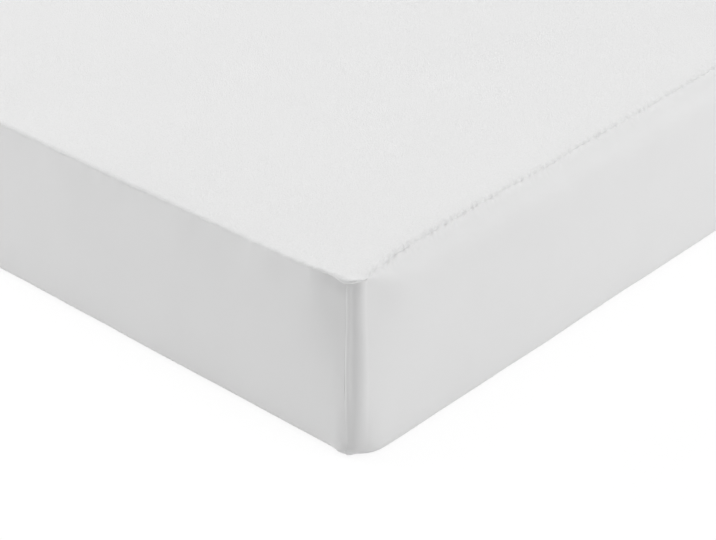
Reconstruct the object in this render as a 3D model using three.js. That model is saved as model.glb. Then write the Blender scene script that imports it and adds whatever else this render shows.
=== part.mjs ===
// A waterproof mattress protector, fitted over a single mattress that lies flat.
// A towelling top panel is sewn all round to a skirt of four smooth stretch panels. The skirt goes down
// the sides, turns under the mattress and ends in an elastic hem. Its two long panels reach round the
// corners, and meet the end panels in upright seams that lie on the ends, close to the corners.
// Millimetres, +Z up, +X to the right, +Y towards the head of the bed, origin under the middle.
import * as THREE from "three";

// Driving sizes.
const MATTRESS = { width: 900, length: 1900, thickness: 200, corner: 12, baseCorner: 42 };
const MATTRESS_EDGE = { shoulder: 26, base: 16 };
const CLOTH = 1.2; // skirt, and the ground of the towelling
const PILE = 1.2; // loops of the towelling, above its ground
const GAP = 0.3; // between neighbouring pieces
const SIDE_EASE = 0.8; // between the mattress and the inside of the skirt
const SIDE_SWELL = 1.6; // how far the sides swell out at half height
const BASE_EDGE = 12; // radius where the skirt turns under
const BASE_CORNER = { radius: 36, height: 70 }; // below this height the hem draws each corner in rounder
const HEM = { height: 3.4, width: 9, reach: 66, corner: 90 }; // reach is in from the side, under the bed
const CORNER_SEAM = { place: 3.4, ridge: 1.2, width: 3.4, split: 0.25 }; // place is before the corner

// The top seam lies on a crisp edge at both ends, which dips a little between the corners. From each
// corner it climbs inwards over the edge of the long side, which grows rounder, and goes on further in
// towards the middle. Each climb nears its height by about two thirds in one run.
const CRISP_EDGE = { radius: 3.5, dip: 2, dipRun: 130 };
const ROUND_EDGE = { radius: 18, run: 70 };
const LONG_SEAM = { corner: 14, cornerRun: 18, side: 5, sideRun: 60, middle: 12 };

// Soft folds in the skirt, a row each: the place along the straight of its side, how far it stands
// out, how far down it reaches, and how far it pushes the long seam inwards (+) or outwards (-).
const LONG_FOLDS = [
  { along: 48, rise: 1.2, reach: 58, push: 0.9 },
  { along: 138, rise: 0.8, reach: 44, push: -0.8 },
  { along: 236, rise: 1.5, reach: 82, push: 0.7 },
  { along: 350, rise: 1.1, reach: 66, push: 1.4 },
  { along: 492, rise: 1.3, reach: 74, push: -0.6 },
  { along: 640, rise: 0.8, reach: 50, push: 1.0 },
  { along: 806, rise: 1.2, reach: 70, push: -1.0 },
  { along: 970, rise: 0.9, reach: 54, push: 0.9 },
  { along: 1118, rise: 1.3, reach: 78, push: -0.7 },
  { along: 1290, rise: 1.4, reach: 80, push: 1.1 },
  { along: 1436, rise: 0.8, reach: 52, push: -0.9 },
  { along: 1590, rise: 1.2, reach: 68, push: 1.0 },
  { along: 1710, rise: 0.9, reach: 56, push: -0.8 },
  { along: 1820, rise: 1.3, reach: 60, push: 0.8 },
];
const END_FOLDS = [
  { along: 110, rise: 0.6, reach: 60, push: 0 },
  { along: 282, rise: 0.9, reach: 84, push: 0 },
  { along: 450, rise: 0.6, reach: 90, push: 0 },
  { along: 628, rise: 0.8, reach: 62, push: 0 },
  { along: 766, rise: 0.9, reach: 76, push: 0 },
];
const FOLD_REACH = 40; // a fold dies away this far to either side
const FOLD_START = 12; // and comes in over this distance below the seam

// Heights and half sizes that follow. The cover's own surface is the outside of its plain cloth.
const mattressBase = HEM.height + GAP;
const mattressTop = mattressBase + MATTRESS.thickness;
const coverTop = mattressTop + GAP + CLOTH;
const coverHalfX = MATTRESS.width / 2 + SIDE_EASE + CLOTH;
const coverHalfY = MATTRESS.length / 2 + SIDE_EASE + CLOTH;
const coverCorner = MATTRESS.corner + SIDE_EASE + CLOTH;

const { clamp, lerp, degToRad } = THREE.MathUtils;
const smooth = (t) => THREE.MathUtils.smoothstep(t, 0, 1);
const climb = (height, distance, run) => height * (1 - Math.exp(-distance / run));
const QUARTER = Math.PI / 2;

// The four sides, anticlockwise from above, each between two corners given by their signs in X and Y.
const SIDES = {
  right: { from: [1, -1], to: [1, 1], facing: 0, folds: LONG_FOLDS, long: true },
  head: { from: [1, 1], to: [-1, 1], facing: 90, folds: END_FOLDS, long: false },
  left: { from: [-1, 1], to: [-1, -1], facing: 180, folds: LONG_FOLDS, long: true },
  foot: { from: [-1, -1], to: [1, -1], facing: 270, folds: END_FOLDS, long: false },
};
const drawnIn = (z) => clamp((BASE_CORNER.height - z) / (BASE_CORNER.height - BASE_EDGE), 0, 1);
const straightOf = (side) => 2 * ((side.long ? coverHalfY : coverHalfX) - coverCorner);

// A point on a rounded rectangle: part of the way between two corner centres, then out to its edge.
function ringPoint(station, halfX, halfY, radius, z) {
  const x = lerp(station.from[0], station.to[0], station.share) * (halfX - radius);
  const y = lerp(station.from[1], station.to[1], station.share) * (halfY - radius);
  const facing = degToRad(station.facing);
  return new THREE.Vector3(x + radius * Math.cos(facing), y + radius * Math.sin(facing), z);
}

// A station is a place round the cover, with the shape that its upright cross-section has there: the
// radius of the top edge, how far in the top seam lies, how far the edge dips, and its fold. past is
// its distance round from where the nearest corner starts to turn away from the end.
function makeStation(side, share, facing, past) {
  const along = share * straightOf(side);
  const fold = side.folds.find((f) => facing === side.facing && Math.abs(along - f.along) < FOLD_REACH);
  const strength = fold ? smooth(1 - Math.abs(along - fold.along) / FOLD_REACH) : 0;
  const station = { ...side, share, facing, ridge: 0, seamInset: 0 };
  station.foldRise = fold ? fold.rise * strength : 0;
  station.foldReach = fold ? fold.reach : 1;
  station.edge = lerp(CRISP_EDGE.radius, ROUND_EDGE.radius, smooth(past / ROUND_EDGE.run));
  station.dip = CRISP_EDGE.dip * smooth(-past / CRISP_EDGE.dipRun);
  if (past > 0) {
    station.seamInset = climb(LONG_SEAM.corner, past, LONG_SEAM.cornerRun);
    station.seamInset += climb(LONG_SEAM.side, past, LONG_SEAM.sideRun);
    station.seamInset += side.long ? LONG_SEAM.middle * Math.sin(Math.PI * share) : 0;
    station.seamInset += fold ? fold.push * strength : 0;
  }
  return station;
}

// Stations on the straight of a side, at distances along it.
function straightStations(side, alongs) {
  const straight = straightOf(side);
  return alongs.map((along) => {
    const fromEnd = Math.min(along, straight - along);
    const past = side.long ? coverCorner * QUARTER + fromEnd : -fromEnd;
    return makeStation(side, along / straight, side.facing, past);
  });
}

// Stations round the corner after a side, without the ends of its arc.
function cornerStations(side) {
  return [22.5, 45, 67.5].map((turn) => {
    const past = coverCorner * degToRad(side.long ? 90 - turn : turn);
    return makeStation(side, 1, side.facing + turn, past);
  });
}

// The places on a side where its skirt's shape is set: at its folds and half way between them.
function foldPlaces(side) {
  const places = side.folds.map((fold) => fold.along);
  const between = places.slice(1).map((place, k) => (place + places[k]) / 2);
  return [...places, ...between].sort((a, b) => a - b);
}

// The stations of a skirt panel, from seam to seam. Both its edges are raised where it is seamed.
const { place: seamPlace, width: ridgeWidth, split: seamSplit } = CORNER_SEAM;
function withRaisedEdges(stations) {
  stations[0].ridge = CORNER_SEAM.ridge;
  stations[stations.length - 1].ridge = CORNER_SEAM.ridge;
  return stations;
}
function endPanelStations(side) {
  const straight = straightOf(side);
  const nearCorner = [seamPlace + seamSplit, seamPlace + ridgeWidth, 14, 23];
  const alongs = [...nearCorner, ...foldPlaces(side), ...nearCorner.map((d) => straight - d).reverse()];
  return withRaisedEdges(straightStations(side, alongs));
}
function longPanelStations(side, before, after) {
  const straight = straightOf(side);
  const edge = seamPlace - seamSplit;
  const nearCorner = [0, 8, 15, 23];
  const alongs = [...nearCorner, ...foldPlaces(side), ...nearCorner.map((d) => straight - d).reverse()];
  return withRaisedEdges([
    ...straightStations(before, [straightOf(before) - edge, straightOf(before)]),
    ...cornerStations(before),
    ...straightStations(side, alongs),
    ...cornerStations(side),
    ...straightStations(after, [0, edge]),
  ]);
}

// The cover's cross-section at a station, by the distance gone outwards and down from where the top
// edge starts to round: how far in from the side it is, how far down, and which way it faces.
function crossSection(station, gone) {
  const edge = station.edge;
  if (gone <= 0) return { inset: edge - gone, drop: 0, out: 0, up: 1 };
  if (gone <= QUARTER * edge) {
    const [out, up] = [Math.sin(gone / edge), Math.cos(gone / edge)];
    return { inset: edge * (1 - out), drop: edge * (1 - up), out, up };
  }
  const wall = coverTop - edge - BASE_EDGE;
  const down = gone - QUARTER * edge;
  if (down <= wall) {
    const swell = SIDE_SWELL * Math.sin((Math.PI * down) / wall) ** 2;
    return { inset: -swell, drop: edge + down, out: 1, up: 0 };
  }
  const turn = Math.min((down - wall) / BASE_EDGE, QUARTER);
  const [out, up] = [Math.cos(turn), -Math.sin(turn)];
  return { inset: BASE_EDGE * (1 - out), drop: coverTop - BASE_EDGE * (1 + up), out, up };
}

// How far along its cross-section a station's top seam lies, or a point of the side at some depth.
function goneAtSeam(station) {
  const { edge, seamInset } = station;
  return seamInset >= edge ? edge - seamInset : edge * Math.asin(1 - seamInset / edge);
}
function goneAtDepth(station, depth) {
  return (QUARTER - 1) * station.edge + depth;
}

// A point of the cover, lifted off its plain cross-section along the way it faces.
const DIP_INSET = 22; // the dip of the crisp edge fades out this far in on the top
const DIP_DEPTH = 90; // and this far down the side
const RIDGE_FADE = 20; // the corner seam flattens over this height above the floor
const TIGHTEST_CORNER = 1; // corners of the lines that lie further in than the corner's radius
function coverPoint(station, gone, lift) {
  const at = crossSection(station, gone);
  const dip = station.dip * smooth(1 - Math.max(at.inset, 0) / DIP_INSET) * smooth(1 - at.drop / DIP_DEPTH);
  const below = gone - goneAtSeam(station);
  const fold = station.foldRise * smooth(1 - below / station.foldReach) * smooth(below / FOLD_START);
  const ridge = station.ridge * Math.max(at.out, 0) * smooth((coverTop - at.drop) / RIDGE_FADE);
  const off = lift + fold + (lift < 0 ? 0 : ridge);
  const inset = at.inset - at.out * off;
  const corner = Math.max(coverCorner - inset, TIGHTEST_CORNER);
  const z = coverTop - at.drop - dip + at.up * off;
  const point = ringPoint(station, coverHalfX - inset, coverHalfY - inset, corner, z);
  return drawCornerIn(point, BASE_CORNER.radius - inset);
}

// Near the floor, a point by a corner is drawn in towards a circle about that corner.
function drawCornerIn(point, radius) {
  const centre = new THREE.Vector3(
    Math.sign(point.x) * (coverHalfX - BASE_CORNER.radius),
    Math.sign(point.y) * (coverHalfY - BASE_CORNER.radius),
    point.z,
  );
  const out = point.clone().sub(centre);
  const beyondBoth = out.x * point.x > 0 && out.y * point.y > 0;
  if (!beyondBoth || out.length() < radius) return point;
  return centre.addScaledVector(out, lerp(1, radius / out.length(), drawnIn(point.z)));
}

function geometryFrom(points, faces) {
  const geometry = new THREE.BufferGeometry();
  const positions = points.flatMap((p) => [p.x, p.y, p.z]);
  geometry.setAttribute("position", new THREE.Float32BufferAttribute(positions, 3));
  geometry.setIndex(faces);
  geometry.computeVertexNormals();
  return geometry;
}

// A closed solid through a list of level rings, from the top face outwards, down, and in underneath.
function solidOfRings(rings) {
  const count = rings[0].length;
  const faces = [];
  for (let ring = 0; ring + 1 < rings.length; ring++) {
    for (let k = 0; k < count; k++) {
      const here = ring * count + k;
      const beside = ring * count + ((k + 1) % count);
      faces.push(here, here + count, beside + count, here, beside + count, beside);
    }
  }
  const outline = rings[0].map((p) => new THREE.Vector2(p.x, p.y));
  const underside = (rings.length - 1) * count;
  for (const [a, b, c] of THREE.ShapeUtils.triangulateShape(outline, [])) {
    faces.push(a, b, c, underside + a, underside + c, underside + b);
  }
  return geometryFrom(rings.flat(), faces);
}

// A closed sheet between two grids of the same shape, its outside and its inside.
function solidOfSheet(outside, inside) {
  const count = outside[0].length;
  const layer = outside.length * count;
  const at = (line, k, under) => under * layer + line * count + k;
  const faces = [];
  const quad = (a, b, c, d) => faces.push(a, b, c, a, c, d);
  const last = outside.length - 1;
  const end = count - 1;
  for (let line = 0; line < last; line++) {
    for (let k = 0; k < end; k++) {
      quad(at(line, k, 0), at(line + 1, k, 0), at(line + 1, k + 1, 0), at(line, k + 1, 0));
      quad(at(line, k, 1), at(line, k + 1, 1), at(line + 1, k + 1, 1), at(line + 1, k, 1));
    }
    quad(at(line + 1, 0, 0), at(line, 0, 0), at(line, 0, 1), at(line + 1, 0, 1));
    quad(at(line, end, 0), at(line + 1, end, 0), at(line + 1, end, 1), at(line, end, 1));
  }
  for (let k = 0; k < end; k++) {
    quad(at(0, k, 0), at(0, k + 1, 0), at(0, k + 1, 1), at(0, k, 1));
    quad(at(last, k + 1, 0), at(last, k, 0), at(last, k, 1), at(last, k + 1, 1));
  }
  return geometryFrom([...outside.flat(), ...inside.flat()], faces);
}

// Skirt panel: from the top seam over the edge and down the side, round under the mattress, and
// inwards to the roll of the hem.
function skirtGeometry(stations) {
  const FOLDED_DEPTH = 78; // the lines down to here are shares of the way from the seam
  const FOLDED_SHARES = [0, 0.12, 0.24, 0.36, 0.6, 1];
  const UNDER_TURNS = [0, 45, 90];
  const places = FOLDED_SHARES.map((share) => (s) => {
    return lerp(goneAtSeam(s) + GAP / 2, goneAtDepth(s, FOLDED_DEPTH), share);
  });
  places.push((s) => goneAtDepth(s, coverTop - BASE_CORNER.height));
  for (const turn of UNDER_TURNS) {
    places.push((s) => goneAtDepth(s, coverTop - BASE_EDGE) + BASE_EDGE * degToRad(turn));
  }
  const outside = places.map((place) => stations.map((s) => coverPoint(s, place(s), 0)));
  const inside = places.map((place) => stations.map((s) => coverPoint(s, place(s), -CLOTH)));

  const hemEdge = [coverHalfX - HEM.reach, coverHalfY - HEM.reach, HEM.corner];
  const flapStart = places[places.length - 1];
  const flapPoint = (s, fromHem, z) => {
    const share = 1 - fromHem / (HEM.reach - BASE_EDGE);
    const start = coverPoint(s, flapStart(s), 0).setZ(z);
    return start.lerp(ringPoint(s, ...hemEdge, z), share);
  };
  const HEM_LINES = [[HEM.width, CLOTH], [HEM.width - 2, HEM.height], [0, HEM.height]];
  for (const [fromHem, height] of HEM_LINES) {
    outside.push(stations.map((s) => flapPoint(s, fromHem, 0)));
    inside.push(stations.map((s) => flapPoint(s, fromHem, height)));
  }
  return solidOfSheet(outside, inside);
}

// Top panel: flat towelling whose loops thin out towards the seam, turned over the edge at the ends.
function topPanelGeometry(stations) {
  const FROM_SEAM = [24, 12, 6, 2, 0];
  const FULL_PILE = 8; // the loops stand at their full height this far from the seam
  const place = (s, fromSeam) => goneAtSeam(s) - GAP / 2 - fromSeam;
  const loops = (fromSeam) => PILE * Math.sqrt(1 - Math.max(0, 1 - fromSeam / FULL_PILE) ** 2);
  const over = FROM_SEAM.map((d) => stations.map((s) => coverPoint(s, place(s, d), loops(d))));
  const under = FROM_SEAM.map((d) => stations.map((s) => coverPoint(s, place(s, d), -CLOTH)));
  return solidOfRings([...over, ...under.reverse()]);
}

// Mattress: a plain block with a wide rounding at the top and a small one below. Its corners are tight
// and, with the skirt drawn round them, rounder near the floor.
function mattressGeometry() {
  const STEPS = 6;
  const shares = Array.from({ length: STEPS + 1 }, (_, k) => k / STEPS);
  const ring = (inset, z) => {
    const [halfX, halfY] = [MATTRESS.width / 2 - inset, MATTRESS.length / 2 - inset];
    const radius = lerp(MATTRESS.corner, MATTRESS.baseCorner, drawnIn(z));
    const corner = Math.max(radius - inset, TIGHTEST_CORNER);
    return Object.values(SIDES).flatMap((side) => shares.map((share) => {
      const station = { ...side, share: 1, facing: side.facing + 90 * share };
      return ringPoint(station, halfX, halfY, corner, z);
    }));
  };
  const rounding = (radius, share) => radius * (1 - Math.sin(QUARTER * share));
  const top = shares.map((share) => {
    const inset = rounding(MATTRESS_EDGE.shoulder, share);
    return ring(inset, mattressTop - rounding(MATTRESS_EDGE.shoulder, 1 - share));
  });
  const bottom = shares.map((share) => {
    const inset = rounding(MATTRESS_EDGE.base, 1 - share);
    return ring(inset, mattressBase + rounding(MATTRESS_EDGE.base, share));
  });
  return solidOfRings([...top, ring(0, BASE_CORNER.height), ...bottom]);
}

const towelling = new THREE.MeshStandardMaterial({ color: 0xe9e9e9, roughness: 0.95, metalness: 0 });
const stretchKnit = new THREE.MeshStandardMaterial({ color: 0xdedede, roughness: 0.75, metalness: 0 });
const ticking = new THREE.MeshStandardMaterial({ color: 0xe4e2dc, roughness: 0.9, metalness: 0 });

const protector = new THREE.Group();
function addPiece(name, geometry, material) {
  const mesh = new THREE.Mesh(geometry, material);
  mesh.name = name;
  protector.add(mesh);
}

const { right, head, left, foot } = SIDES;
const panels = {
  skirt_right: longPanelStations(right, foot, head),
  skirt_head: endPanelStations(head),
  skirt_left: longPanelStations(left, head, foot),
  skirt_foot: endPanelStations(foot),
};
addPiece("mattress", mattressGeometry(), ticking);
for (const [name, stations] of Object.entries(panels)) {
  addPiece(name, skirtGeometry(stations), stretchKnit);
}

// The top panel's edge follows the panels all the way round, without their raised corner seams.
const rim = Object.values(panels).flat().map((station) => ({ ...station, ridge: 0 }));
addPiece("top_panel", topPanelGeometry(rim), towelling);

export default protector;
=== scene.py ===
import bisect
import math
import random

import bpy
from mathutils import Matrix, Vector, noise
from mathutils.geometry import delaunay_2d_cdt


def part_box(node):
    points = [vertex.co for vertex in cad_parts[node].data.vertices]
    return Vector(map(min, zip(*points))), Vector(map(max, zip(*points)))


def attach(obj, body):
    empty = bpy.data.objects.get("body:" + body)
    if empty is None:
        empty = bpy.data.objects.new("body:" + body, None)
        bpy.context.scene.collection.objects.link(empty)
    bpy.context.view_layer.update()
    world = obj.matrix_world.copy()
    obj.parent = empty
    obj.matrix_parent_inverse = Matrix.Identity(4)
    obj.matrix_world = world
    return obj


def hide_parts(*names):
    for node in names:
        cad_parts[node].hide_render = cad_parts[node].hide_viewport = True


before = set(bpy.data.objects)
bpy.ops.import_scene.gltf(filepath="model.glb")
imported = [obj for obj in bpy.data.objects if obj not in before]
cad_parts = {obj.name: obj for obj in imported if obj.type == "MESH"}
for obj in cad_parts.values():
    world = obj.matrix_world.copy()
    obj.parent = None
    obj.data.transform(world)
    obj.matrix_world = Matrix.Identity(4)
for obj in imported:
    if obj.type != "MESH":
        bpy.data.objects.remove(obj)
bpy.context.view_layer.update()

# ---------------------------------------------------------------------------------------------
# Camera. It stands off the near corner at the foot of the bed, above the height of the
# mattress, with a long lens that takes in that corner and a stretch of both sides.
CAMERA_FROM_CORNER = Vector((1.0737, -1.1835, 1.1740))
CAMERA_TURN = math.radians(42.28)
CAMERA_DIP = math.radians(30.78)
LENS = 100.3


def put_in_scene(name, data):
    """A new object in the scene, which carries a camera, a mesh or a lamp."""
    thing = bpy.data.objects.new(name, data)
    bpy.context.scene.collection.objects.link(thing)
    return thing


bed_low, bed_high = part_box("mattress")
camera_data = bpy.data.cameras.new("corner_camera")
camera_data.lens = LENS
camera_data.sensor_width = 36
camera_data.clip_start = 0.05
camera = put_in_scene("corner_camera", camera_data)
camera.location = Vector((bed_high.x, bed_low.y, bed_low.z)) + CAMERA_FROM_CORNER
camera.rotation_euler = (math.pi / 2 - CAMERA_DIP, 0, CAMERA_TURN)
bpy.context.scene.camera = camera

# ---------------------------------------------------------------------------------------------
# Mattress. A block of foam, 200 mm thick, in a plain woven ticking. It takes on the shape of the
# cover that is stretched over it, which hides all but a part of its underside.
CLOTH = 0.0012  # the jersey's thickness
COVER_EASE = 0.0008
COVER_GAP = 0.0003
COVER_CORNER = 0.014
SHARPEST_CORNER = 0.001
SIDE_SWELL = 0.0016

# The top edge is crisp over the ends, where it sags towards their middles, and round on the sides.
CRISP_EDGE = {"radius": 0.0035, "dip": 0.002, "dip_run": 0.130, "dip_in": 0.022, "dip_down": 0.090}
ROUND_EDGE = {"radius": 0.030, "start": 0.014, "run": 0.066}
LOW_EDGE = {"end": 0.012, "long": 0.0085, "start": 0.010, "run": 0.060}
BASE_CORNER = {"radius": 0.036, "top": 0.070, "bottom": 0.012}

# Each corner's top is a small lobe that stands over the sides. Under it, the seams pull them in.
LOBE = {"start": -0.034, "full": -0.018, "fade": 0.006, "end": 0.024}
CORNER_PULL = {
    "in": 0.0058,
    "end_run": 0.036,
    "long_run": 0.036,
    "at_floor": 0.15,
    "fade": 0.075,
    "tighter": 0.3,
}
CORNER_HOLLOW = {
    "in": 0.0045,
    "end": 0.055,
    "long": 0.060,
    "above": 0.0030,
    "even": 0.040,
    "fade": 0.080,
}

# Past the lobe, the seam puckers the cloth of the long sides much more than that of the ends.
PUCKER = {"start": 0.014, "run": 0.016, "most": 0.7}

# Soft folds in the sides: place along the side, how far one stands out, how far down it reaches,
# how far it pushes the top seam inwards, and how far it leans over its height.
LONG_FOLDS = (
    (0.048, 0.0012, 0.058, 0.0009, 0.010),
    (0.138, 0.0008, 0.044, -0.0008, -0.006),
    (0.236, 0.0015, 0.082, 0.0007, 0.016),
    (0.350, 0.0011, 0.066, 0.0014, 0.012),
    (0.492, 0.0013, 0.074, -0.0006, -0.012),
    (0.640, 0.0008, 0.050, 0.0010, 0.008),
    (0.806, 0.0012, 0.070, -0.0010, -0.014),
    (0.970, 0.0009, 0.054, 0.0009, 0.010),
    (1.118, 0.0013, 0.078, -0.0007, 0.013),
    (1.290, 0.0014, 0.080, 0.0011, -0.015),
    (1.436, 0.0008, 0.052, -0.0009, 0.008),
    (1.590, 0.0012, 0.068, 0.0010, -0.012),
    (1.710, 0.0009, 0.056, -0.0008, 0.010),
    (1.820, 0.0013, 0.060, 0.0008, -0.008),
)
END_FOLDS = (
    (0.110, 0.0006, 0.060, 0, 0.008),
    (0.282, 0.0009, 0.084, 0, -0.012),
    (0.450, 0.0006, 0.090, 0, 0.010),
    (0.628, 0.0008, 0.062, 0, 0.012),
    (0.766, 0.0009, 0.076, 0, -0.010),
)
FOLD_REACH = 0.040
FOLD_START = 0.012

# The line of the top seam: how far past the start of a corner, and how far out and down from where
# the top edge starts to round. By each corner it dips over the end, to where the panels meet.
SEAM_LINE = (
    (-0.300, 0.0059),
    (-0.200, 0.0047),
    (-0.150, 0.0043),
    (-0.090, 0.0041),
    (-0.048, 0.0040),
    (-0.036, 0.0040),
    (-0.030, 0.0042),
    (-0.027, 0.0045),
    (-0.024, 0.0049),
    (-0.021, 0.0055),
    (-0.018, 0.0064),
    (-0.015, 0.0074),
    (-0.012, 0.0083),
    (-0.009, 0.0089),
    (-0.006, 0.0090),
    (-0.003, 0.0085),
    (0.000, 0.0076),
    (0.003, 0.0066),
    (0.006, 0.0057),
    (0.009, 0.0048),
    (0.012, 0.0038),
    (0.015, 0.0026),
    (0.018, 0.0015),
    (0.021, 0.0008),
    (0.024, 0.0004),
    (0.030, 0.0001),
    (0.034, 0.0003),
    (0.039, 0.0014),
    (0.045, 0.0032),
    (0.051, 0.0064),
    (0.060, 0.0096),
    (0.070, 0.0106),
    (0.080, 0.0102),
    (0.100, 0.0080),
    (0.125, 0.0064),
    (0.150, 0.0057),
    (0.200, 0.0053),
    (0.240, 0.0057),
    (0.275, 0.0062),
    (0.340, 0.0053),
    (0.410, 0.0034),
    (0.960, -0.0040),
)

CORNERS = ((1, -1), (1, 1), (-1, 1), (-1, -1))  # anticlockwise from the right of the foot
QUARTER = math.pi / 2
cover_x = bed_high.x + COVER_EASE + CLOTH
cover_y = bed_high.y + COVER_EASE + CLOTH
cover_top = bed_high.z + COVER_GAP + CLOTH
arc = COVER_CORNER * QUARTER
straights = [2 * (cover_y - COVER_CORNER), 2 * (cover_x - COVER_CORNER)] * 2
way_round = sum(straights) + 4 * arc
side_starts = [sum(straights[:side]) + side * arc for side in range(4)]


def smooth(share):
    share = min(max(share, 0.0), 1.0)
    return share * share * (3 - 2 * share)


def lerp(start, end, share):
    return start + (end - start) * share


def along_line(line, place):
    """The height of a line through marks at a place, which may lie before or after all of them."""
    if place <= line[0][0]:
        return line[0][1]
    for (start, low), (end, high) in zip(line, line[1:]):
        if place <= end:
            return lerp(low, high, (place - start) / (end - start))
    return line[-1][1]


def between(place, start, full, fade, end):
    """1 from full to fade, falling smoothly to 0 at start and at end."""
    return smooth((place - start) / (full - start)) * smooth((end - place) / (end - fade))


class Place:
    """A place round the cover, walk metres on from the start of its right side.

    past is how far round it is from where the nearest corner starts to turn away from the end of
    the bed, and is negative on the ends. seam is where the top seam lies on the upright section.
    """

    def __init__(self, walk):
        self.walk = walk
        side, left = 0, walk % way_round
        while left >= straights[side] + arc:
            left -= straights[side] + arc
            side += 1
        straight = straights[side]
        self.side = side
        self.along = min(left, straight)
        self.share = self.along / straight
        turned = max(left - straight, 0)
        self.facing = QUARTER * (side + turned / arc)
        from_end = min(self.along, straight - self.along)
        is_long = side % 2 == 0
        if turned:
            self.past = arc - turned if is_long else turned
        else:
            self.past = arc + from_end if is_long else -from_end
        self.set_pull()
        self.set_edges()
        self.set_seam(is_long, turned)

    def set_pull(self):
        """How far in the seamed corner pulls the sides, and how much more under its lobe."""
        pull = CORNER_PULL
        past_arc = max(self.past - arc, 0)
        away = min(self.past, 0) / pull["end_run"] - past_arc / pull["long_run"]
        self.pulled = pull["in"] * math.exp(away)
        hollow = CORNER_HOLLOW
        self.hollow = hollow["in"] * smooth(1 + min(self.past, 0) / hollow["end"])
        self.hollow *= smooth(1 - past_arc / hollow["long"])

    def set_edges(self):
        past = self.past
        self.lobe = between(past, LOBE["start"], LOBE["full"], LOBE["fade"], LOBE["end"])
        roundness = smooth((past - ROUND_EDGE["start"]) / ROUND_EDGE["run"])
        self.edge = lerp(CRISP_EDGE["radius"], ROUND_EDGE["radius"], roundness)
        self.pucker = max(roundness, smooth((past - PUCKER["start"]) / PUCKER["run"]) * PUCKER["most"])
        self.dip = CRISP_EDGE["dip"] * smooth(-past / CRISP_EDGE["dip_run"])
        straighter = smooth((past - LOW_EDGE["start"]) / LOW_EDGE["run"])
        self.low_edge = lerp(LOW_EDGE["end"], LOW_EDGE["long"], straighter)

    def set_seam(self, is_long, turned):
        self.seam = along_line(SEAM_LINE, self.past)
        self.folds = []
        for place, rise, reach, push, lean in LONG_FOLDS if is_long else END_FOLDS:
            if not turned and abs(self.along - place) < FOLD_REACH + abs(lean):
                self.folds.append((place, rise, reach, lean))
                self.seam -= push * smooth(1 - abs(self.along - place) / FOLD_REACH)

    def ring_point(self, half_x, half_y, radius, z):
        start, end = CORNERS[self.side], CORNERS[(self.side + 1) % 4]
        x = lerp(start[0], end[0], self.share) * (half_x - radius) + radius * math.cos(self.facing)
        y = lerp(start[1], end[1], self.share) * (half_y - radius) + radius * math.sin(self.facing)
        return Vector((x, y, z))

    def section(self, gone):
        """The upright section, gone metres out and down from where the top edge starts to round:
        how far in from the side, how far down, and how it faces, outwards and up."""
        edge = self.edge
        if gone <= 0:
            return edge - gone, 0.0, 0.0, 1.0
        if gone <= QUARTER * edge:
            out, up = math.sin(gone / edge), math.cos(gone / edge)
            return edge * (1 - out), edge * (1 - up), out, up
        wall = cover_top - edge - self.low_edge
        down = gone - QUARTER * edge
        if down <= wall:
            return -SIDE_SWELL * math.sin(math.pi * down / wall) ** 2, edge + down, 1.0, 0.0
        turn = min((down - wall) / self.low_edge, QUARTER)
        out, up = math.cos(turn), -math.sin(turn)
        return self.low_edge * (1 - out), cover_top - self.low_edge * (1 + up), out, up

    def gone_at_depth(self, depth):
        return (QUARTER - 1) * self.edge + depth

    def gone_at_floor(self, share):
        """How far gone a share of the turn under the mattress lies."""
        return self.gone_at_depth(cover_top - self.low_edge) + self.low_edge * QUARTER * share

    def point(self, gone, lift=0.0):
        """A point of the cover, lifted off its plain section along the way it faces."""
        inset, drop, out, up = self.section(gone)
        dip = self.dip * smooth(1 - max(inset, 0) / CRISP_EDGE["dip_in"])
        dip *= smooth(1 - drop / CRISP_EDGE["dip_down"])
        z = cover_top - drop - dip + up * lift
        pulled = self.pulled * lerp(CORNER_PULL["at_floor"], 1, smooth(z / CORNER_PULL["fade"]))
        hollow = CORNER_HOLLOW
        below = gone - self.seam
        if below < 0:
            pulled += self.hollow * out * math.exp(below / hollow["above"])
        else:
            pulled += self.hollow * out * smooth(1 - (below - hollow["even"]) / hollow["fade"])
        inset -= out * lift
        corner = max(COVER_CORNER - inset - pulled * CORNER_PULL["tighter"], SHARPEST_CORNER)
        inset += pulled
        point = self.ring_point(cover_x - inset, cover_y - inset, corner, z)
        return draw_corner_in(point, BASE_CORNER["radius"] - inset)


def draw_corner_in(point, radius):
    """Near the floor, a point by a corner is drawn in towards a circle about that corner."""
    centre_x = math.copysign(cover_x - BASE_CORNER["radius"], point.x)
    centre_y = math.copysign(cover_y - BASE_CORNER["radius"], point.y)
    out_x, out_y = point.x - centre_x, point.y - centre_y
    away = math.hypot(out_x, out_y)
    if out_x * point.x <= 0 or out_y * point.y <= 0 or away < radius:
        return point
    share = (BASE_CORNER["top"] - point.z) / (BASE_CORNER["top"] - BASE_CORNER["bottom"])
    scale = lerp(1, radius / away, min(max(share, 0.0), 1.0))
    return Vector((centre_x + out_x * scale, centre_y + out_y * scale, point.z))


# The mattress keeps to the inside of the cover. The tight top seam presses a furrow into it, down
# and a little inwards, and its corners give way under the lobes.
FURROW = {"depth": 0.0048, "half_width": 0.016, "inwards": 0.3}
CORNER_GIVE = 0.030
bed_walks = []
for side_start, straight in zip(side_starts, straights):
    near_corner = (0.0, 0.012, 0.026, 0.045, 0.075, 0.120)
    bed_walks.extend(side_start + distance for distance in near_corner)
    bed_walks.extend(side_start + straight * share for share in (0.2, 0.3, 0.4, 0.5, 0.6, 0.7, 0.8))
    bed_walks.extend(side_start + straight - distance for distance in reversed(near_corner))
    bed_walks.extend(side_start + straight + arc * share for share in (0.2, 0.4, 0.6, 0.8))
bed_places = [Place(walk) for walk in sorted(bed_walks)]
bed_lift = -(CLOTH + COVER_EASE)


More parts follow.
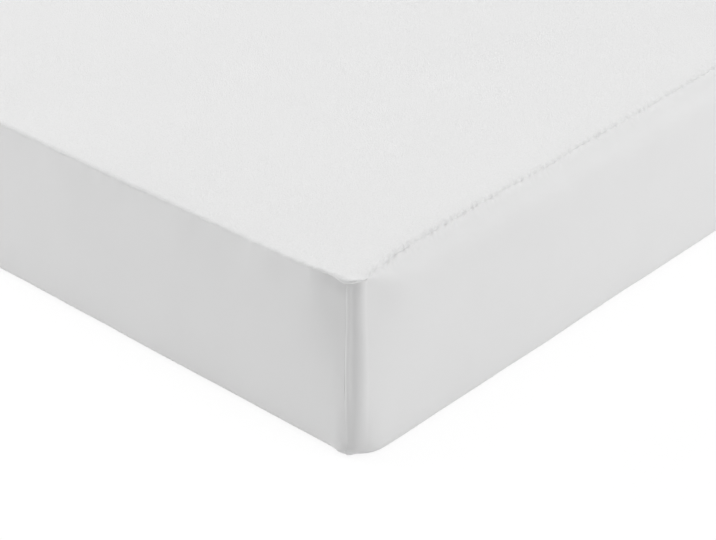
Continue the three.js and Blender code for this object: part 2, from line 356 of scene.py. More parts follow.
def mattress_ring(gone_at):
    """One ring of points round the mattress, at a distance gone that each place gives."""
    ring = []
    for place in bed_places:
        gone = gone_at(place)
        furrow = FURROW["depth"] * math.exp(-(((gone - place.seam) / FURROW["half_width"]) ** 2))
        facing_up = place.section(gone)[3]
        point = place.point(gone, bed_lift - furrow * facing_up - furrow * FURROW["inwards"])
        give = place.hollow * math.exp(-(((gone - place.seam) / CORNER_GIVE) ** 2))
        point.x -= math.copysign(give, point.x)
        point.y -= math.copysign(give, point.y)
        ring.append(point)
    return ring


mattress_rings = []
for before in (0.110, 0.080, 0.060, 0.046, 0.036, 0.028, 0.021, 0.015, 0.010, 0.006, 0.003):
    mattress_rings.append(mattress_ring(lambda place: -before))
for share in (0.0, 0.2, 0.4, 0.6, 0.8, 1.0):
    mattress_rings.append(mattress_ring(lambda place: share * QUARTER * place.edge))
for depth in (0.024, 0.040, 0.070, 0.105, 0.135, 0.150, 0.165, 0.180):
    mattress_rings.append(mattress_ring(lambda place: place.gone_at_depth(depth)))
for share in (0.0, 0.25, 0.5, 0.75, 1.0):
    mattress_rings.append(mattress_ring(lambda place: place.gone_at_floor(share)))
for ring in mattress_rings[-4:]:
    for point in ring:
        point.z = max(point.z, bed_low.z)
for inset in (0.030, 0.060, 0.120):
    radius = max(BASE_CORNER["radius"] - inset, 0.004)
    mattress_rings.append(
        [place.ring_point(cover_x - inset, cover_y - inset, radius, bed_low.z) for place in bed_places]
    )

ring_size = len(bed_places)
mattress_faces = []
for ring in range(len(mattress_rings) - 1):
    for k in range(ring_size):
        here = ring * ring_size + k
        beside = ring * ring_size + (k + 1) % ring_size
        mattress_faces.append((here, here + ring_size, beside + ring_size, beside))
mattress_faces.append(tuple(range(ring_size)))
last_ring = (len(mattress_rings) - 1) * ring_size
mattress_faces.append(tuple(reversed(range(last_ring, last_ring + ring_size))))
mattress_mesh = bpy.data.meshes.new("foam_mattress")
mattress_mesh.from_pydata([point for ring in mattress_rings for point in ring], [], mattress_faces)
mattress = put_in_scene("foam_mattress", mattress_mesh)
mattress_mesh.shade_smooth()


class Value:
    """A number that changes over a surface. Arithmetic on it adds Math nodes to its finish."""

    def __init__(self, finish, socket):
        self.finish = finish
        self.socket = socket

    def maths(self, operation, *numbers):
        inputs = {place: number for place, number in enumerate(numbers)}
        return self.finish.add("ShaderNodeMath", {"operation": operation}, inputs).value(0)

    def __add__(self, other):
        return self.maths("ADD", self, other)

    def __sub__(self, other):
        return self.maths("SUBTRACT", self, other)

    def __rsub__(self, other):
        return self.maths("SUBTRACT", other, self)

    def __mul__(self, other):
        return self.maths("MULTIPLY", self, other)

    __radd__ = __add__
    __rmul__ = __mul__


class Node:
    """A node of a finish, whose outputs are taken as values or as plain sockets."""

    def __init__(self, finish, node):
        self.finish = finish
        self.node = node

    def value(self, output):
        return Value(self.finish, self.node.outputs[output])

    def socket(self, output):
        return self.node.outputs[output]


class Finish:
    """The look of a material, or of the world round the bed, built node by node."""

    def __init__(self, owner):
        owner.use_nodes = True
        self.owner = owner
        self.tree = owner.node_tree
        self.tree.nodes.clear()

    def add(self, kind, settings=None, inputs=None):
        """Any node, by its type, its settings and the values or links of its sockets."""
        node = self.tree.nodes.new(kind)
        for name, setting in (settings or {}).items():
            setattr(node, name, setting)
        for name, given in (inputs or {}).items():
            if isinstance(given, Value):
                self.tree.links.new(given.socket, node.inputs[name])
            elif isinstance(given, bpy.types.NodeSocket):
                self.tree.links.new(given, node.inputs[name])
            else:
                node.inputs[name].default_value = given
        return Node(self, node)

    def blend(self, first, second, share):
        """A colour between two others."""
        inputs = {"Factor": share, 6: first, 7: second}
        return self.add("ShaderNodeMix", {"data_type": "RGBA"}, inputs).socket(2)

    def noise(self, where, size, detail=2.0):
        """Soft random cloud, with patches about as wide as size."""
        inputs = {"Vector": where, "Scale": 1 / size, "Detail": detail}
        return self.add("ShaderNodeTexNoise", {}, inputs).value(0)

    def bump(self, height, strength, distance):
        inputs = {"Height": height, "Strength": strength, "Distance": distance}
        return self.add("ShaderNodeBump", {}, inputs).socket("Normal")

    def matt(self, colour, roughness, normal=None):
        """The shader of dull cloth or paper."""
        inputs = {"Base Color": colour, "Roughness": roughness}
        if normal:
            inputs["Normal"] = normal
        return self.add("ShaderNodeBsdfPrincipled", {}, inputs).socket("BSDF")

    def surface(self, shader, output="ShaderNodeOutputMaterial"):
        """Ends the finish in a shader."""
        self.add(output, {}, {"Surface": shader})
        return self.owner


def grey(level):
    return (level, level, level, 1)


ticking = Finish(bpy.data.materials.new("woven_ticking"))
where = ticking.add("ShaderNodeTexCoord").socket("Object")
threads = ticking.add(
    "ShaderNodeTexWave",
    {"wave_type": "BANDS", "bands_direction": "DIAGONAL"},
    {"Vector": where, "Scale": 420.0, "Distortion": 1.2, "Detail": 1.0},
).value("Fac")
slubs = ticking.noise(where, 0.004)
cloudy = ticking.noise(where, 0.09)
weave_bump = ticking.bump(threads * 0.7 + slubs * 0.3, strength=0.5, distance=0.0004)
dark_thread, pale_thread = (0.66, 0.64, 0.60, 1), (0.78, 0.76, 0.72, 1)
thread_colour = ticking.blend(dark_thread, pale_thread, threads * 0.6 + cloudy * 0.4)
mattress_mesh.materials.append(ticking.surface(ticking.matt(thread_colour, 0.9, weave_bump)))

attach(mattress, "root")
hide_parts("mattress")

# ---------------------------------------------------------------------------------------------
# Skirt. Four panels of smooth white stretch jersey are sewn to the edge of the top panel. They go
# down the sides, turn under the mattress and end in an elastic hem. The two long ones reach round
# the corners, to upright seams on the ends, where they lie over the end panels.
HEM = {"height": 0.0034, "width": 0.009, "reach": 0.066, "corner": 0.090, "turn": 3 * QUARTER}
OFF_FLOOR = 0.00001
GATHERS = {"height": 0.0012, "spacing": 0.0042, "uneven": 2, "uneven_run": 0.05}
CORNER_SEAM = {
    "place": 0.0060,
    "split": 0.00010,
    "edge": 0.0002,
    "height": 0.0003,
    "crest": 0.0026,
    "width": 0.0090,
    "start": 0.004,
    "uneven": 0.15,
    "uneven_run": 0.012,
}
SEAM_FOOT = {"out": 0.0036, "half_width": 0.0075, "beside": 0.0016, "under": 0.0150, "ahead": 0.25}

# Painted shade: where the jersey lies deep, its colour is darkened, in a band down each corner and as a
# painted shadow under its lobe.
CORNER_BAND_SHADE = {"most_shade": 0.60, "start": -0.006, "full": -0.002, "fade": 0.004, "end": 0.011}
LOBE_SHADOW = {"most_shade": 0.62, "start": -0.052, "full": -0.026, "fade": 0.004, "end": 0.020}
LOBE_SHADOW_HEIGHT = {"even": 0.006, "fall": 0.016}

# Stitches of the top seam, as distances round the cover. Each is pulled tight by its own amount.
STITCH = {"step": 0.0106, "stray": 0.24, "pull": (0.35, 1.0), "half_width": (0.0022, 0.0034)}
seeded = random.Random(11)
stitch_count = round(way_round / STITCH["step"])
stitches = []
for number in range(stitch_count):
    place = (number + seeded.uniform(-STITCH["stray"], STITCH["stray"])) * way_round / stitch_count
    stitches.append((place, seeded.uniform(*STITCH["pull"]), seeded.uniform(*STITCH["half_width"])))
stitch_places = [place for place, _, _ in stitches]


def stitch_pull(walk):
    """How hard the thread pulls the seam in at a place, from 0 to 1."""
    walk %= way_round
    number = bisect.bisect(stitch_places, walk)
    pull = 0.0
    for near in (number - 1, number):
        place, strength, width = stitches[near % stitch_count]
        away = abs(walk - place)
        away = min(away, way_round - away)
        pull = max(pull, strength * math.exp(-((away / width) ** 2)))
    return pull


# Painted shade in the stitch pits: how strongly it shows on the ends and on the sides, where it grows,
# and how wide it is.
PIT_SHADE = {"on_ends": 0.25, "on_sides": 1.0, "start": 0.020, "run": 0.020, "half_width": 0.0030}


def pit_shade(place, from_seam):
    """How much painted shade darkens the cloth by a stitch: from 0 on the open cloth to 1 at the bottom
    of a hard pulled stitch.
    """
    shown = lerp(PIT_SHADE["on_ends"], PIT_SHADE["on_sides"], smooth((place.past - PIT_SHADE["start"]) / PIT_SHADE["run"]))
    return shown * stitch_pull(place.walk) * math.exp(-((from_seam / PIT_SHADE["half_width"]) ** 2))


def shade_in_zone(place, zone):
    """How much painted shade a place takes in a zone that runs down a corner."""
    return zone["most_shade"] * between(place.past, zone["start"], zone["full"], zone["fade"], zone["end"])


def corner_shade(place, below):
    """How much painted shade the jersey takes in a band down a corner and as a painted shadow under its
    lobe, on the same scale as a pit.
    """
    height = LOBE_SHADOW_HEIGHT
    lobe = shade_in_zone(place, LOBE_SHADOW) * smooth(1 - (below - height["even"]) / height["fall"])
    return max(lobe, shade_in_zone(place, CORNER_BAND_SHADE))


CLOUD_HEIGHT = 1.6  # brings the noise out to about -1 to 1


def cloud(walk, down, size, seed):
    """Soft random waves over the cloth."""
    return noise.noise(Vector((walk / size[0], down / size[1], seed))) * CLOUD_HEIGHT


# The jersey turns in at the seam and dips at each stitch, by more on the sides than on the ends.
# Short creases run down from the stitches, and below them the whole side is a little uneven.
TURN_IN = {"ends": 0.0002, "sides": 0.0006, "run": 0.0045, "hidden": 0.5}
STITCH_DIP = {"ends": 0.0001, "sides": 0.0012, "half_width": 0.0028}
CREASES = {"ends": 0.0001, "sides": 0.00042, "start": 0.003, "end": 0.018}
# Each kind of wave has a height, a size along the cloth and down it, and a seed.
CREASE_CLOUD = (1, (0.0034, 0.013), 7.7)
SOFT_WAVES = (0.00035, (0.016, 0.040), 2.3)
BROAD_WAVES = (0.0007, (0.120, 0.150), 5.5)
SMALL_WAVES = (0.00025, (0.036, 0.060), 9.4)
SOFT_WAVES_END = 0.050
BROAD_WAVES_START = 0.030
SMALL_WAVES_START = 0.020


def waves(place, down, kind):
    height, size, seed = kind
    return height * cloud(place.walk, down, size, seed)


def skirt_lift(place, below, from_edge, is_long):
    """How far the jersey stands off the plain section, at a distance below the top seam."""
    lift = 0.0
    for fold_place, rise, reach, lean in place.folds:
        away = abs(place.along - fold_place - lean * below / reach)
        side = smooth(1 - away / FOLD_REACH)
        lift += rise * side * smooth(1 - below / reach) * smooth(below / FOLD_START)
    pucker = place.pucker
    turned_in = lerp(TURN_IN["ends"], TURN_IN["sides"], pucker)
    lift -= turned_in * math.exp(-max(below, 0) / TURN_IN["run"])
    dip = lerp(STITCH_DIP["ends"], STITCH_DIP["sides"], pucker) * stitch_pull(place.walk)
    lift -= dip * math.exp(-((below / STITCH_DIP["half_width"]) ** 2))
    if below < 0:
        lift += TURN_IN["hidden"] * below
    crease = smooth(below / CREASES["start"]) * smooth(1 - below / CREASES["end"])
    crease *= lerp(CREASES["ends"], CREASES["sides"], pucker)
    lift += crease * waves(place, below, CREASE_CLOUD)
    lift += smooth(1 - below / SOFT_WAVES_END) * waves(place, below, SOFT_WAVES)
    lift += smooth(below / BROAD_WAVES_START) * waves(place, below, BROAD_WAVES)
    lift += smooth(below / SMALL_WAVES_START) * waves(place, below, SMALL_WAVES)
    # The long panel laps over the end panel, with its turned-in edge under it.
    if is_long:
        seam = CORNER_SEAM
        if from_edge < seam["crest"]:
            lap = (from_edge + seam["edge"]) / seam["crest"]
        else:
            lap = max(1 - (from_edge - seam["crest"]) / (seam["width"] - seam["crest"]), 0)
        wobble = 1 + seam["uneven"] * cloud(0.0, below, (1, seam["uneven_run"]), 4.2)
        lift += seam["height"] * lap * wobble * smooth(below / seam["start"])
    return lift


def seam_foot(from_edge):
    """How far the thick end of the corner seam stands out where it turns under the mattress."""
    foot = SEAM_FOOT
    if from_edge < 0:
        return foot["out"] * math.exp(-((-from_edge / foot["under"]) ** 3))
    return foot["out"] * math.exp(-(((from_edge - foot["beside"]) / foot["half_width"]) ** 2))


def cloth_from_rows(name, rows, closed):
    """A mesh through rows of marked points, each row keyed by column. A row may leave out columns
    of the one above it. A mark is a place on the flat map, in metres, and how much painted shade it
    takes."""
    numbers, points, marks = [], [], []
    for row in rows:
        numbers.append({column: len(points) + place for place, column in enumerate(row)})
        points.extend(point for point, _ in row.values())
        marks.extend(mark for _, mark in row.values())
    faces = []
    for upper, lower in zip(numbers, numbers[1:]):
        upper_columns, lower_columns = list(upper), list(lower)
        start = 0
        for left, right in zip(lower_columns, lower_columns[1:]):
            end = start
            while upper_columns[end] != right:
                end += 1
            face = [lower[left], lower[right]]
            face.extend(upper[column] for column in reversed(upper_columns[start : end + 1]))
            faces.append(face)
            start = end
        if closed:
            face = [lower[lower_columns[-1]], lower[lower_columns[0]], upper[upper_columns[0]]]
            face.extend(upper[column] for column in reversed(upper_columns[start:]))
            faces.append(face)
    mesh = bpy.data.meshes.new(name)
    mesh.from_pydata(points, [], faces)
    return mesh, marks, numbers


def mark_cloth(mesh, marks):
    """Lays the flat map, and notes how much painted shade each point takes, in a pit or a corner."""
    layer = mesh.uv_layers.new(name="cloth")
    for loop in mesh.loops:
        layer.uv[loop.index].vector = marks[loop.vertex_index][:2]
    painted_shades = mesh.attributes.new("depth", "FLOAT", "POINT")
    painted_shades.data.foreach_set("value", [depth for _, _, depth in marks])


def thicken(piece, thickness):
    """Gives a sheet its thickness, inwards from the side that shows."""
    bpy.ops.object.select_all(action="DESELECT")
    piece.select_set(True)
    bpy.context.view_layer.objects.active = piece
    wall = piece.modifiers.new("thickness", "SOLIDIFY")
    wall.thickness = thickness
    wall.offset = -1
    bpy.ops.object.modifier_apply(modifier="thickness")


# The mesh is finer by the panels' ends, and along the seams near the right corner of the foot.
END_ZONE = {"width": 0.034, "finest": 0.010, "finest_step": 0.0005, "step": 0.0010}
FINE_SEAM = {"before": 0.120, "after": 0.52, "steps": 8, "other_steps": 4}
KEPT_ALL, KEPT_HALF, KEPT_SHORT = 0, 1, 2


def steps_per_stitch(walk):
    fine = walk < FINE_SEAM["after"] or walk > way_round - FINE_SEAM["before"]
    return FINE_SEAM["steps"] if fine else FINE_SEAM["other_steps"]


def stitch_columns(mark, following):
    """Columns from one stitch up to the next, each with how far in from the seam it is kept."""
    steps = steps_per_stitch(mark % way_round)
    columns = []
    for step in range(steps):
        kept = KEPT_ALL if step == 0 else KEPT_HALF if step == steps // 2 else KEPT_SHORT
        columns.append((lerp(mark, following, step / steps), kept))
    return columns


def columns_between(start, end):
    """Columns of a panel between two places, each with how far in from the seam it is kept: close
    together by the panel's ends, and else in step with the stitches."""
    zone = END_ZONE
    columns = []
    place = start
    while place < start + zone["width"]:
        columns.append((place, KEPT_ALL))
        place += zone["finest_step"] if place < start + zone["finest"] else zone["step"]
    marks = [mark + turn * way_round for turn in (-1, 0, 1) for mark in stitch_places]
    marks = [mark for mark in marks if place + 2 * zone["step"] < mark < end - zone["width"]]
    for mark, following in zip(marks, marks[1:]):
        columns.extend(stitch_columns(mark, following))
    columns.append((marks[-1], KEPT_ALL))
    closing = []
    place = end
    while place > end - zone["width"]:
        closing.append((place, KEPT_ALL))
        place -= zone["finest_step"] if place > end - zone["finest"] else zone["step"]
    return columns + closing[::-1]


# Rows of points, as distances below the seam, then evenly down the side, round its turn and under.
SEAM_ROWS = (-0.0004, 0.0001, 0.0006, 0.0011, 0.0017, 0.0024, 0.0032, 0.0041, 0.0051, 0.0062, 0.0075)
FOLD_ROWS = (0.0090, 0.0108, 0.0130, 0.0156, 0.0188, 0.0228, 0.0278, 0.0340, 0.0410, 0.0490, 0.0580)
WALL_ROWS, TURN_ROWS, FLAP_ROWS, HEM_ROWS = 18, 8, 5, 11
SHORT_TO, HALF_TO = 0.0156, 0.0580


def row_kept(distance, short_to, half_to):
    """Which columns a row still has: the further it lies from the seam, the fewer are kept."""
    if distance < short_to:
        return KEPT_SHORT
    return KEPT_HALF if distance < half_to else KEPT_ALL


def skirt_panel(name, node, start, end, is_long):
    columns = [(Place(walk), kept) for walk, kept in columns_between(start, end)]
    rows = []

    def add_row(kept, make_point):
        row = {}
        for number, (place, column_kept) in enumerate(columns):
            if column_kept <= kept:
                point, down = make_point(place)
                # The painted shade of a point: the greater of its stitch pit's and its corner's.
                depth = max(pit_shade(place, down), corner_shade(place, down))
                row[number] = (point, (place.walk, down, depth))
        rows.append(row)

    def on_side(place, gone):
        below = gone - place.seam
        from_edge = min(place.walk - start, end - place.walk)
        return place.point(gone, skirt_lift(place, below, from_edge, is_long)), below

    for below in SEAM_ROWS + FOLD_ROWS:
        kept = row_kept(below, SHORT_TO, HALF_TO)
        add_row(kept, lambda place: on_side(place, place.seam + below))
    for step in range(1, WALL_ROWS + 1):
        share = step / WALL_ROWS

        def down_wall(place):
            return on_side(place, lerp(place.seam + FOLD_ROWS[-1], place.gone_at_floor(0), share))

        add_row(KEPT_ALL, down_wall)

    def turned_under(place, share):
        gone = place.gone_at_floor(share)
        from_edge = min(place.walk - start, end - place.walk)
        lift = skirt_lift(place, gone - place.seam, from_edge, is_long)
        signed = from_edge if is_long else -from_edge
        lift += seam_foot(signed) * math.sin(math.pi * min(share + SEAM_FOOT["ahead"], 1.0))
        point = place.point(gone, lift * (1 - share * share))
        point.z = max(point.z, 0.0)
        return point, gone - place.seam

    for step in range(1, TURN_ROWS + 1):
        share = step / TURN_ROWS
        add_row(KEPT_ALL, lambda place: turned_under(place, share))

    # Under the mattress, the flap lies on the floor in shallow gathers, up to the roll of the hem.
    flap = HEM["reach"] - LOW_EDGE["end"]
    hem_ring = (cover_x - HEM["reach"], cover_y - HEM["reach"], HEM["corner"])

    def under(place, from_hem, height):
        start_point = place.point(place.gone_at_floor(1))
        share = 1 - from_hem / flap
        uneven = GATHERS["uneven"] * cloud(place.walk, 0, (GATHERS["uneven_run"], 1), 6.6)
        phase = place.walk / GATHERS["spacing"] + uneven
        ripple = GATHERS["height"] * share * (0.5 + 0.5 * math.sin(phase))
        point = start_point.lerp(place.ring_point(*hem_ring, 0), share)
        point.z = height + (ripple if height == 0 else 0)
        return point, cover_top + flap - from_hem

    for step in range(1, FLAP_ROWS + 1):
        from_hem = lerp(flap, HEM["width"], step / FLAP_ROWS)
        add_row(KEPT_ALL, lambda place: under(place, from_hem, 0.0))
    roll_x, roll_z = HEM["width"] / 2, HEM["height"] / 2
    for step in range(1, HEM_ROWS + 1):
        turn = -QUARTER + HEM["turn"] * step / HEM_ROWS
        from_hem = roll_x * (1 - math.cos(turn))
        height = roll_z * (1 + math.sin(turn))
        add_row(KEPT_ALL, lambda place: under(place, from_hem, max(height, OFF_FLOOR)))

    mesh, marks, _ = cloth_from_rows(name, rows, closed=False)
    mark_cloth(mesh, marks)
    panel = put_in_scene(name, mesh)
    mesh.shade_smooth()
    thicken(panel, CLOTH)
    panel.data.materials.append(stretch_knit)
    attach(panel, "root")
    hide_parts(node)


# Fine stretch jersey: columns of small V-shaped loops, hardly raised, in slightly uneven white.
knit = Finish(bpy.data.materials.new("stretch_jersey"))
flat_place = knit.add("ShaderNodeUVMap", {"uv_map": "cloth"}).socket("UV")
wales = knit.add(
    "ShaderNodeTexWave",
    {"wave_type": "BANDS", "bands_direction": "X"},
    {"Vector": flat_place, "Scale": 360.0, "Distortion": 0.6, "Detail": 1.0},
).value("Fac")
courses = knit.add(
    "ShaderNodeTexWave",
    {"wave_type": "BANDS", "bands_direction": "Y"},
    {"Vector": flat_place, "Scale": 480.0, "Distortion": 0.8, "Detail": 1.0},
).value("Fac")
fibres = knit.noise(flat_place, 0.0011, 3.0)
cloudy = knit.noise(flat_place, 0.060)
loops = wales * 0.5 + courses * 0.3 + fibres * 0.5
knit_bump = knit.bump(loops, strength=0.35, distance=0.00018)
knit_colour = knit.blend(grey(0.785), grey(0.820), fibres * 0.55 + cloudy * 0.45)
# Painted shade: the jersey is darkened towards grey in the stitch pits, down each corner and under each
# lobe, as the depth attribute marks them.
depth = knit.add("ShaderNodeAttribute", {"attribute_name": "depth"}).value("Fac")
knit_colour = knit.blend(knit_colour, grey(0.60), depth * 0.35)
stretch_knit = knit.surface(knit.matt(knit_colour, 0.75, knit_bump))

corner_reach = arc + CORNER_SEAM["place"]
split = CORNER_SEAM["split"]
PANELS = (
    ("jersey_right", "skirt_right", 0, True, (1.927, 0.288)),
    ("jersey_head", "skirt_head", 1, False, (0.870, 0.268)),
    ("jersey_left", "skirt_left", 2, True, (1.927, 0.288)),
    ("jersey_foot", "skirt_foot", 3, False, (0.870, 0.268)),
)
for name, node, side, is_long, flat_size in PANELS:
    first, last = side_starts[side], side_starts[side] + straights[side]
    reach = corner_reach - split if is_long else -CORNER_SEAM["place"] - split
    skirt_panel(name, node, first - reach, last + reach, is_long)

# ---------------------------------------------------------------------------------------------
# Top panel. White cotton towelling with a waterproof film bonded under it, cut to the size of the
# bed and overlocked to the skirt all round. It rolls down into the seam, whose stitches pucker it.
PILE = 0.0012
TOWELLING = 0.0018  # its thickness
# Rows of points, as distances in from the seam.
RIM_ROWS = (-0.0004, 0.0001, 0.0006, 0.0011, 0.0017, 0.0024, 0.0032, 0.0042, 0.0054, 0.0070, 0.0090)
RIM_ROWS += (0.0115, 0.0145, 0.0180, 0.0225, 0.0280, 0.0350)
INNER_STEP = 0.014

# The rim falls to the seam, slowly and then sharply, dips at each stitch, and is full in the lobes.
FALL = {"ends": 0.0016, "sides": 0.0052, "share": 0.75, "sharp": 0.0012, "hidden": 0.5}
ROLL = {"ends": 0.0001, "sides": 0.0004}
DEEP_DIP = {"ends": 0.0001, "sides": 0.0013, "half_width": 0.0040}
LONG_DIP = {"ends": 0.0001, "sides": 0.0004, "run": 0.0080}
LOBE_FULL = {"height": 0.0012, "in": 0.0042, "half_width": 0.0030}
LUMPS = {"ends": 0.00018, "sides": 0.00045, "end": 0.012}
LUMP_CLOUD = (1, (0.0030, 0.0035), 1.7)
RIM_WAVES = (0.00030, (0.012, 0.012), 8.2)
RIM_WAVES_END = 0.030


def towelling_lift(place, from_seam):
    """How far the tops of the loops stand off the plain section, at a distance in from the seam."""
    pucker = place.pucker
    inward = max(from_seam, 0)
    slow = math.exp(-inward / lerp(FALL["ends"], FALL["sides"], pucker))
    fall = FALL["share"] * slow + (1 - FALL["share"]) * math.exp(-inward / FALL["sharp"])
    lift = PILE - (PILE + lerp(ROLL["ends"], ROLL["sides"], pucker)) * fall
    pull = stitch_pull(place.walk)
    deep = lerp(DEEP_DIP["ends"], DEEP_DIP["sides"], pucker) * pull
    long = lerp(LONG_DIP["ends"], LONG_DIP["sides"], pucker) * pull
    lift -= deep * math.exp(-((inward / DEEP_DIP["half_width"]) ** 2))
    lift -= long * math.exp(-inward / LONG_DIP["run"])
    if from_seam < 0:
        lift += FALL["hidden"] * from_seam
    full = LOBE_FULL["height"] * place.lobe
    lift += full * math.exp(-(((from_seam - LOBE_FULL["in"]) / LOBE_FULL["half_width"]) ** 2))
    lumps = lerp(LUMPS["ends"], LUMPS["sides"], pucker) * smooth(1 - from_seam / LUMPS["end"])
    lift += lumps * waves(place, from_seam, LUMP_CLOUD)
    lift += smooth(1 - from_seam / RIM_WAVES_END) * waves(place, from_seam, RIM_WAVES)
    return lift


# Wide, shallow waves of the whole top: height, how many there are to a metre, and shift.
BED_WAVES = ((0.0008, 4.2, Vector((0, 0, 0))), (0.0004, 11, Vector((5, 3, 1))))


def broad_wave(point):
    """How far the top rises or sinks in its wide waves."""
    return sum(height * noise.noise(point * count + shift) for height, count, shift in BED_WAVES)


CORNER_ZONE = {"before": 0.012, "step": 0.0010, "kept_step": 4}
rim = []
for side_start, straight in zip(side_starts, straights):
    last = side_start + straight
    before = CORNER_ZONE["before"]
    along_side = [mark for mark in stitch_places if side_start + before < mark < last - before]
    for mark, following in zip(along_side, along_side[1:]):
        rim.extend((Place(walk), kept) for walk, kept in stitch_columns(mark, following))
    marks_after = [mark + turn for turn in (0, way_round) for mark in stitch_places]
    next_mark = min(mark for mark in marks_after if mark > last + arc + before)
    steps = round((next_mark - along_side[-1]) / CORNER_ZONE["step"])
    for step in range(steps):
        kept = KEPT_SHORT if step % CORNER_ZONE["kept_step"] else KEPT_ALL
        rim.append((Place(lerp(along_side[-1], next_mark, step / steps)), kept))

RIM_SHORT_TO, RIM_HALF_TO = 0.0110, 0.0220
rows = []
for from_seam in RIM_ROWS:
    kept = row_kept(from_seam, RIM_SHORT_TO, RIM_HALF_TO)
    row = {}
    for number, (place, column_kept) in enumerate(rim):
        if column_kept <= kept:
            point = place.point(place.seam - from_seam, towelling_lift(place, from_seam))
            point.z += broad_wave(point) * smooth(from_seam / RIM_ROWS[-1])
            row[number] = (point, (point.x, point.y, pit_shade(place, from_seam)))
    rows.append(row)
mesh, marks, numbers = cloth_from_rows("towelling_rim", rows, closed=True)
points = [vertex.co.copy() for vertex in mesh.vertices]
faces = [tuple(reversed(face.vertices)) for face in mesh.polygons]
bpy.data.meshes.remove(mesh)

# The field inside the rim is filled from an even grid of points.
FIELD_MARGIN = 0.012
MID_STRETCH = 0.3  # the rim's inner edge is measured within this of the middle of each side
outline = list(numbers[-1].values())
inner_points = [points[number].to_2d() for number in outline]
reach_x = min(abs(point.x) for point in inner_points if abs(point.y) < MID_STRETCH) - FIELD_MARGIN
reach_y = min(abs(point.y) for point in inner_points if abs(point.x) < MID_STRETCH) - FIELD_MARGIN
across, down = round(2 * reach_x / INNER_STEP), round(2 * reach_y / INNER_STEP)
for row in range(down + 1):
    for column in range(across + 1):
        point = Vector((lerp(-reach_x, reach_x, column / across), lerp(-reach_y, reach_y, row / down)))
        inner_points.append(point)
count = len(outline)
edges = [(k, (k + 1) % count) for k in range(count)]
inside_only, merge_within = 1, 1e-7
field = delaunay_2d_cdt(inner_points, edges, [], inside_only, merge_within)
filled, _, triangles, origins, _, _ = field
new_number = {}
for number, (point, origin) in enumerate(zip(filled, origins)):
    if origin and min(origin) < count:
        new_number[number] = outline[min(origin)]
    else:
        new_number[number] = len(points)
        point = Vector((point.x, point.y, cover_top + PILE))
        point.z += broad_wave(point)
        points.append(point)
faces.extend(tuple(new_number[corner] for corner in triangle) for triangle in triangles)

mesh = bpy.data.meshes.new("towelling_top")
mesh.from_pydata(points, [], faces)
marks.extend((point.x, point.y, 0.0) for point in points[len(marks) :])
mark_cloth(mesh, marks)
mesh.shade_smooth()
top_panel = put_in_scene("towelling_top", mesh)
thicken(top_panel, TOWELLING)

towelling = Finish(bpy.data.materials.new("cotton_towelling"))
where = towelling.add("ShaderNodeTexCoord").socket("Object")
loop_tops = towelling.add(
    "ShaderNodeTexVoronoi", {"feature": "F1"}, {"Vector": where, "Scale": 620.0, "Randomness": 0.85}
).value("Distance")
fluff = towelling.noise(where, 0.0022, 4.0)
patches = towelling.noise(where, 0.012)
cloudy = towelling.noise(where, 0.140)
pile_height = (1 - loop_tops) * 0.6 + fluff * 0.7 + patches * 0.25
pile_bump = towelling.bump(pile_height, strength=0.45, distance=0.0012)
# Darker away from the loop tops, a painted shade between the loops, and darker at random with the
# fibres and in broad patches.
depth_shade = loop_tops * 0.45 + (1 - fluff) * 0.35 + (1 - cloudy) * 0.20
pile_colour = towelling.blend(grey(0.875), grey(0.765), depth_shade)
# Painted shade: the towelling is darkened towards grey in the stitch pits, as the depth attribute marks
# them.
depth = towelling.add("ShaderNodeAttribute", {"attribute_name": "depth"}).value("Fac")
pile_colour = towelling.blend(pile_colour, grey(0.55), depth * 0.35)
top_panel.data.materials.append(towelling.surface(towelling.matt(pile_colour, 0.95, pile_bump)))
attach(top_panel, "root")
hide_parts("top_panel")

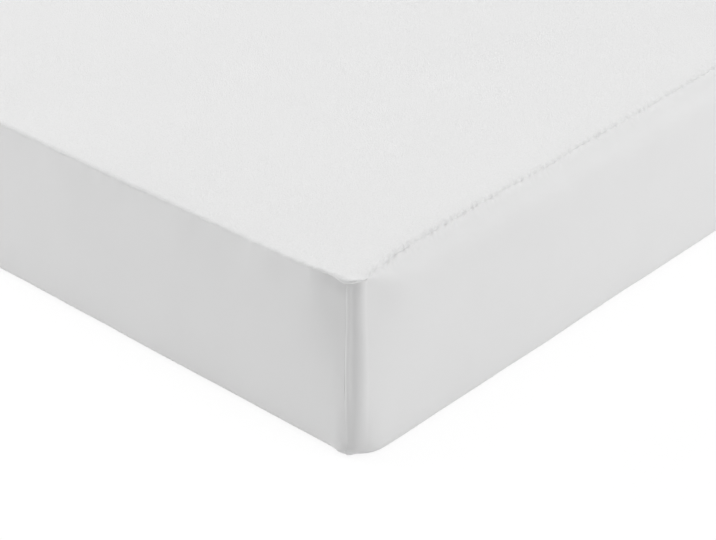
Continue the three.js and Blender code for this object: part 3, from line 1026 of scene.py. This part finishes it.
# ---------------------------------------------------------------------------------------------
# Studio. A plain white floor that keeps a faint shadow, white all round, and big soft lamps: one
# out to the right of the bed, two out to its left and one overhead.
FLOOR_HALF = 30.0
FLOOR_DROP = 0.0002
GLOW_SHARE, GLOW_LEVEL = 0.86, 1.03
LAMPS = (
    # name, azimuth from -Y towards +X, height, distance, width, watts
    ("right_lamp", 108.0, 22.0, 4.0, 3.2, 61.7),
    ("left_lamp", -70.0, 22.0, 6.0, 4.0, 96.0),
    ("left_front_lamp", -54.0, 20.0, 6.0, 4.0, 98.6),
    ("top_lamp", 20.0, 82.0, 4.0, 4.0, 78.4),
)
WORLD_LEVEL = 0.292

bpy.ops.object.select_all(action="DESELECT")
bpy.ops.mesh.primitive_plane_add(size=2 * FLOOR_HALF, location=(0, 0, -FLOOR_DROP))
floor = bpy.context.active_object
floor.name = "studio_floor"
bpy.ops.object.transform_apply(location=True, rotation=True, scale=True)


def seen_directly(finish):
    """1 on rays from the camera, also by way of a gloss or glass, and 0 on those that carry light."""
    rays = finish.add("ShaderNodeLightPath")
    return rays.value("Is Camera Ray") + rays.value("Is Glossy Ray") + rays.value("Is Transmission Ray")


paper = Finish(bpy.data.materials.new("white_paper"))
white_light = {"Color": grey(1.0), "Strength": GLOW_LEVEL}
glow = paper.add("ShaderNodeEmission", {}, white_light).socket("Emission")
mix = {0: seen_directly(paper) * GLOW_SHARE, 1: paper.matt(grey(0.95), 0.9), 2: glow}
floor.data.materials.append(paper.surface(paper.add("ShaderNodeMixShader", {}, mix).socket("Shader")))

air = Finish(bpy.data.worlds.new("studio"))
air_colour = air.blend(grey(WORLD_LEVEL), grey(1.0), seen_directly(air))
background = air.add("ShaderNodeBackground", {}, {"Color": air_colour}).socket("Background")
bpy.context.scene.world = air.surface(background, "ShaderNodeOutputWorld")

for name, azimuth, height, distance, width, watts in LAMPS:
    lamp_data = bpy.data.lights.new(name, "AREA")
    lamp_data.shape = "SQUARE"
    lamp_data.size = width
    lamp_data.energy = watts
    lamp = put_in_scene(name, lamp_data)
    turn, rise = math.radians(azimuth), math.radians(height)
    away = Vector((math.sin(turn) * math.cos(rise), -math.cos(turn) * math.cos(rise), math.sin(rise)))
    lamp.location = away * distance
    lamp.rotation_euler = away.to_track_quat("Z", "Y").to_euler()

bpy.context.scene.view_settings.view_transform = "Standard"

# ---------------------------------------------------------------------------------------------
bpy.context.view_layer.update()
